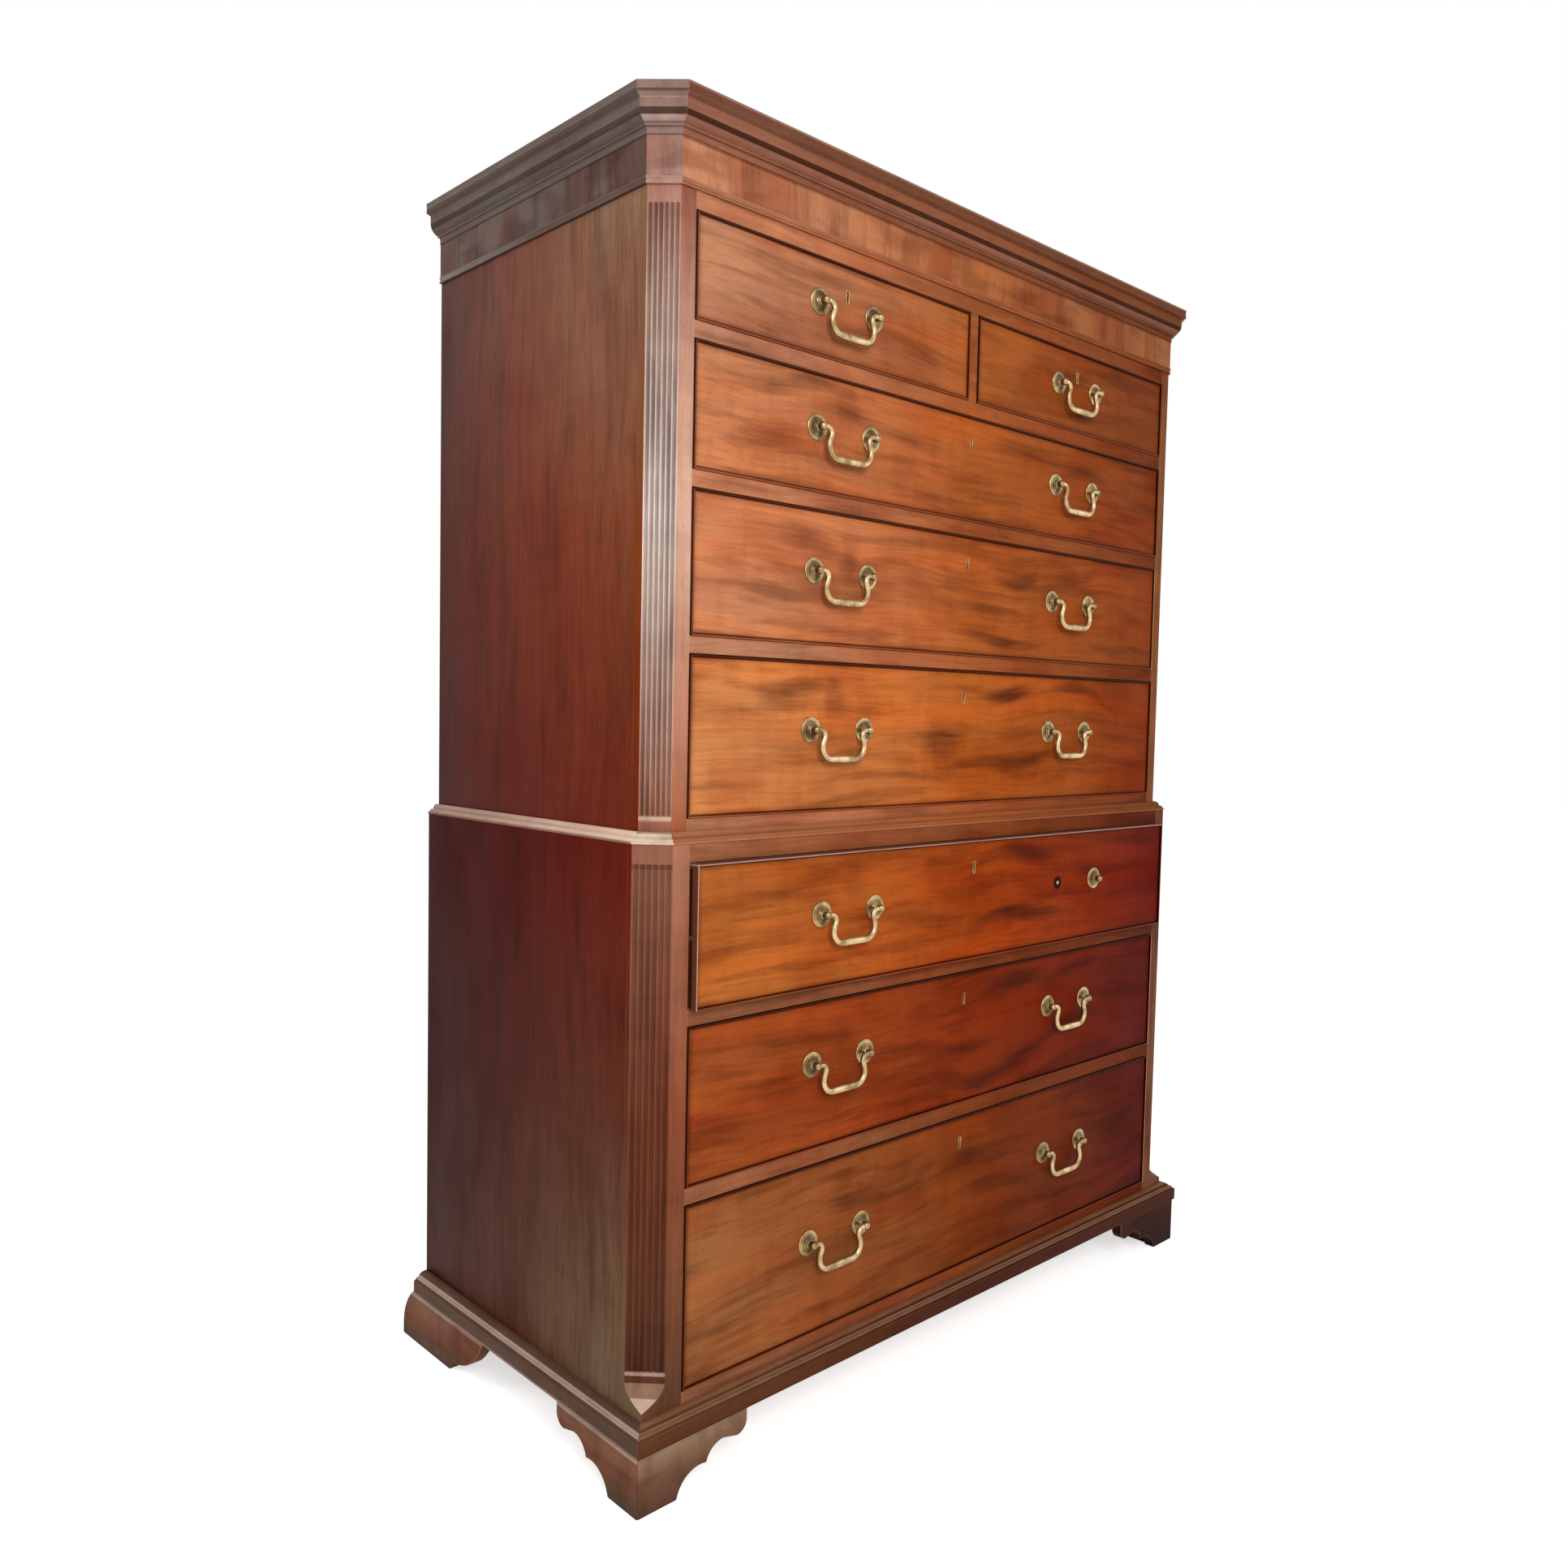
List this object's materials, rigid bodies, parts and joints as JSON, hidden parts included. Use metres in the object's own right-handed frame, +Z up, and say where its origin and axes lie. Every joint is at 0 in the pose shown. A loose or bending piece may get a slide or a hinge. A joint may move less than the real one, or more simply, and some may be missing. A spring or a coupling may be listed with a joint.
{
  "type": "chest on chest",
  "caption": "Georgian style mahogany chest on chest with cockbeaded drawers, canted fluted corners, swan neck brass handles, moulded cornice and bracket feet.",
  "frame": {"origin": "centre of the overall box on the floor, midway between the back feet's heels and the handles of the standing-open drawer", "axes": "+X to the viewer's right across the front, -Y out of the front through the drawers, +Z up"},
  "size_m": [1.306, 0.645, 1.78],
  "materials": {
    "case_mahogany": "dark polished mahogany, satin",
    "post_mahogany": "polished mahogany, satin, worn",
    "drawer_front_mahogany": "french polished figured mahogany",
    "frieze_mahogany": "polished crossbanded mahogany veneer",
    "moulding_mahogany": "polished mahogany moulding with worn edges",
    "secondary_wood": "bare oak and pine, aged",
    "back_wood": "rough bare pine, darkened",
    "brass": "aged lacquer-free brass, soft polish"
  },
  "bodies": {
    "lower_chest": {"lower_side_left": "case_mahogany", "lower_side_right": "case_mahogany", "lower_corner_posts": "post_mahogany", "lower_rails": "post_mahogany", "lower_bottom_board": "secondary_wood", "lower_top_board": "secondary_wood", "lower_dust_boards": "secondary_wood", "lower_backboards": "back_wood", "waist_moulding": "moulding_mahogany", "base_moulding": "moulding_mahogany", "front_feet": "moulding_mahogany", "back_feet": "moulding_mahogany"},
    "upper_chest": {"upper_side_left": "case_mahogany", "upper_side_right": "case_mahogany", "upper_corner_posts": "post_mahogany", "upper_rails": "post_mahogany", "upper_bottom_board": "secondary_wood", "upper_top_board": "secondary_wood", "upper_dust_boards": "secondary_wood", "upper_backboards": "back_wood", "frieze": "frieze_mahogany", "frieze_bead": "moulding_mahogany", "cornice": "moulding_mahogany"},
    "lower_bottom_drawer": {"lower_bottom_drawer_front": "drawer_front_mahogany", "lower_bottom_drawer_box": "secondary_wood", "lower_bottom_drawer_brasses": "brass"},
    "lower_bottom_drawer_bail_left": {"lower_bottom_drawer_bail_left": "brass"},
    "lower_bottom_drawer_bail_right": {"lower_bottom_drawer_bail_right": "brass"},
    "lower_middle_drawer": {"lower_middle_drawer_front": "drawer_front_mahogany", "lower_middle_drawer_box": "secondary_wood", "lower_middle_drawer_brasses": "brass"},
    "lower_middle_drawer_bail_left": {"lower_middle_drawer_bail_left": "brass"},
    "lower_middle_drawer_bail_right": {"lower_middle_drawer_bail_right": "brass"},
    "lower_top_drawer": {"lower_top_drawer_front": "drawer_front_mahogany", "lower_top_drawer_box": "secondary_wood", "lower_top_drawer_brasses": "brass"},
    "lower_top_drawer_bail_left": {"lower_top_drawer_bail_left": "brass"},
    "upper_bottom_drawer": {"upper_bottom_drawer_front": "drawer_front_mahogany", "upper_bottom_drawer_box": "secondary_wood", "upper_bottom_drawer_brasses": "brass"},
    "upper_bottom_drawer_bail_left": {"upper_bottom_drawer_bail_left": "brass"},
    "upper_bottom_drawer_bail_right": {"upper_bottom_drawer_bail_right": "brass"},
    "upper_middle_drawer": {"upper_middle_drawer_front": "drawer_front_mahogany", "upper_middle_drawer_box": "secondary_wood", "upper_middle_drawer_brasses": "brass"},
    "upper_middle_drawer_bail_left": {"upper_middle_drawer_bail_left": "brass"},
    "upper_middle_drawer_bail_right": {"upper_middle_drawer_bail_right": "brass"},
    "upper_top_drawer": {"upper_top_drawer_front": "drawer_front_mahogany", "upper_top_drawer_box": "secondary_wood", "upper_top_drawer_brasses": "brass"},
    "upper_top_drawer_bail_left": {"upper_top_drawer_bail_left": "brass"},
    "upper_top_drawer_bail_right": {"upper_top_drawer_bail_right": "brass"},
    "short_drawer_left": {"short_drawer_left_front": "drawer_front_mahogany", "short_drawer_left_box": "secondary_wood", "short_drawer_left_brasses": "brass"},
    "short_drawer_left_bail": {"short_drawer_left_bail": "brass"},
    "short_drawer_right": {"short_drawer_right_front": "drawer_front_mahogany", "short_drawer_right_box": "secondary_wood", "short_drawer_right_brasses": "brass"},
    "short_drawer_right_bail": {"short_drawer_right_bail": "brass"}
  },
  "joints": [
    {"name": "upper_chest_lift", "type": "slide", "parent": "lower_chest", "child": "upper_chest", "axis": [0, 0, 1], "range_m": [0, 0.1]},
    {"name": "lower_bottom_drawer_slide", "type": "slide", "parent": "lower_chest", "child": "lower_bottom_drawer", "axis": [0, -1, 0], "range_m": [0, 0.4]},
    {"name": "lower_bottom_drawer_bail_left_hinge", "type": "hinge", "parent": "lower_bottom_drawer", "child": "lower_bottom_drawer_bail_left", "pos_m": [-0.285, -0.303, 0.26366], "axis": [-1, 0, 0], "range_deg": [-10, 95]},
    {"name": "lower_bottom_drawer_bail_right_hinge", "type": "hinge", "parent": "lower_bottom_drawer", "child": "lower_bottom_drawer_bail_right", "pos_m": [0.285, -0.303, 0.26366], "axis": [-1, 0, 0], "range_deg": [-10, 95]},
    {"name": "lower_middle_drawer_slide", "type": "slide", "parent": "lower_chest", "child": "lower_middle_drawer", "axis": [0, -1, 0], "range_m": [0, 0.4]},
    {"name": "lower_middle_drawer_bail_left_hinge", "type": "hinge", "parent": "lower_middle_drawer", "child": "lower_middle_drawer_bail_left", "pos_m": [-0.285, -0.303, 0.52131], "axis": [-1, 0, 0], "range_deg": [-10, 95]},
    {"name": "lower_middle_drawer_bail_right_hinge", "type": "hinge", "parent": "lower_middle_drawer", "child": "lower_middle_drawer_bail_right", "pos_m": [0.285, -0.303, 0.52131], "axis": [-1, 0, 0], "range_deg": [-10, 95]},
    {"name": "lower_top_drawer_slide", "type": "slide", "parent": "lower_chest", "child": "lower_top_drawer", "axis": [0, -1, 0], "range_m": [-0.013, 0.387]},
    {"name": "lower_top_drawer_bail_left_hinge", "type": "hinge", "parent": "lower_top_drawer", "child": "lower_top_drawer_bail_left", "pos_m": [-0.285, -0.316, 0.73655], "axis": [-1, 0, 0], "range_deg": [-10, 95]},
    {"name": "upper_bottom_drawer_slide", "type": "slide", "parent": "upper_chest", "child": "upper_bottom_drawer", "axis": [0, -1, 0], "range_m": [0, 0.4]},
    {"name": "upper_bottom_drawer_bail_left_hinge", "type": "hinge", "parent": "upper_bottom_drawer", "child": "upper_bottom_drawer_bail_left", "pos_m": [-0.285, -0.286, 0.99331], "axis": [-1, 0, 0], "range_deg": [-10, 95]},
    {"name": "upper_bottom_drawer_bail_right_hinge", "type": "hinge", "parent": "upper_bottom_drawer", "child": "upper_bottom_drawer_bail_right", "pos_m": [0.285, -0.286, 0.99331], "axis": [-1, 0, 0], "range_deg": [-10, 95]},
    {"name": "upper_middle_drawer_slide", "type": "slide", "parent": "upper_chest", "child": "upper_middle_drawer", "axis": [0, -1, 0], "range_m": [0, 0.4]},
    {"name": "upper_middle_drawer_bail_left_hinge", "type": "hinge", "parent": "upper_middle_drawer", "child": "upper_middle_drawer_bail_left", "pos_m": [-0.285, -0.286, 1.21473], "axis": [-1, 0, 0], "range_deg": [-10, 95]},
    {"name": "upper_middle_drawer_bail_right_hinge", "type": "hinge", "parent": "upper_middle_drawer", "child": "upper_middle_drawer_bail_right", "pos_m": [0.285, -0.286, 1.21473], "axis": [-1, 0, 0], "range_deg": [-10, 95]},
    {"name": "upper_top_drawer_slide", "type": "slide", "parent": "upper_chest", "child": "upper_top_drawer", "axis": [0, -1, 0], "range_m": [0, 0.4]},
    {"name": "upper_top_drawer_bail_left_hinge", "type": "hinge", "parent": "upper_top_drawer", "child": "upper_top_drawer_bail_left", "pos_m": [-0.285, -0.286, 1.41161], "axis": [-1, 0, 0], "range_deg": [-10, 95]},
    {"name": "upper_top_drawer_bail_right_hinge", "type": "hinge", "parent": "upper_top_drawer", "child": "upper_top_drawer_bail_right", "pos_m": [0.285, -0.286, 1.41161], "axis": [-1, 0, 0], "range_deg": [-10, 95]},
    {"name": "short_drawer_left_slide", "type": "slide", "parent": "upper_chest", "child": "short_drawer_left", "axis": [0, -1, 0], "range_m": [0, 0.4]},
    {"name": "short_drawer_left_bail_hinge", "type": "hinge", "parent": "short_drawer_left", "child": "short_drawer_left_bail", "pos_m": [-0.28475, -0.286, 1.58185], "axis": [-1, 0, 0], "range_deg": [-10, 95]},
    {"name": "short_drawer_right_slide", "type": "slide", "parent": "upper_chest", "child": "short_drawer_right", "axis": [0, -1, 0], "range_m": [0, 0.4]},
    {"name": "short_drawer_right_bail_hinge", "type": "hinge", "parent": "short_drawer_right", "child": "short_drawer_right_bail", "pos_m": [0.28475, -0.286, 1.58185], "axis": [-1, 0, 0], "range_deg": [-10, 95]}
  ]
}
